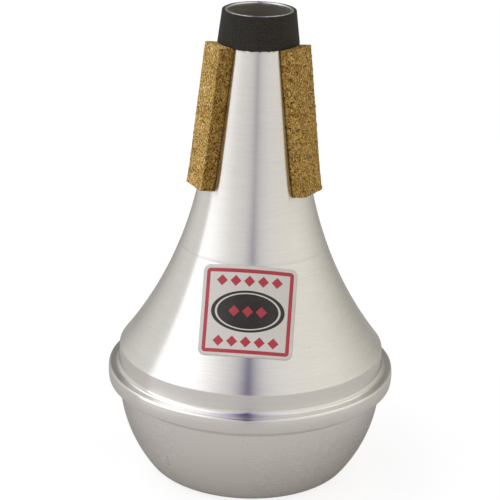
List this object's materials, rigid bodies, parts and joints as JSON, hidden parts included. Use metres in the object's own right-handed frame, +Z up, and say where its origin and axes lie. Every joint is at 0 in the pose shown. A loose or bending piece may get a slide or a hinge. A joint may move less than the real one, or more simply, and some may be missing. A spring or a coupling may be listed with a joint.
{
  "type": "trumpet straight mute",
  "caption": "Spun aluminium cone with a rolled seam and closed bowl base, rubber neck sleeve and cork grip strips; seats in a trumpet bell to muffle it.",
  "frame": {"origin": "centre of the flat of the bowl that the mute stands on", "axes": "+Z up along the turning axis towards the small open end, -Y towards the label"},
  "size_m": [0.105, 0.105, 0.1718],
  "materials": {
    "spun_aluminium": "bright, with fine turning lines round it",
    "satin_aluminium": "satin, with soft turning lines round it",
    "black_rubber": "matt black with a cut lower edge",
    "pressed_cork": "pressed cork granules, sanded",
    "printed_film": "pale printed sticker film, semi-gloss"
  },
  "bodies": {
    "root": {"body_shell": "spun_aluminium", "base_bowl": "satin_aluminium", "end_sleeve": "black_rubber", "cork_front_right": "pressed_cork", "cork_rear": "pressed_cork", "cork_front_left": "pressed_cork", "label": "printed_film"}
  },
  "joints": []
}
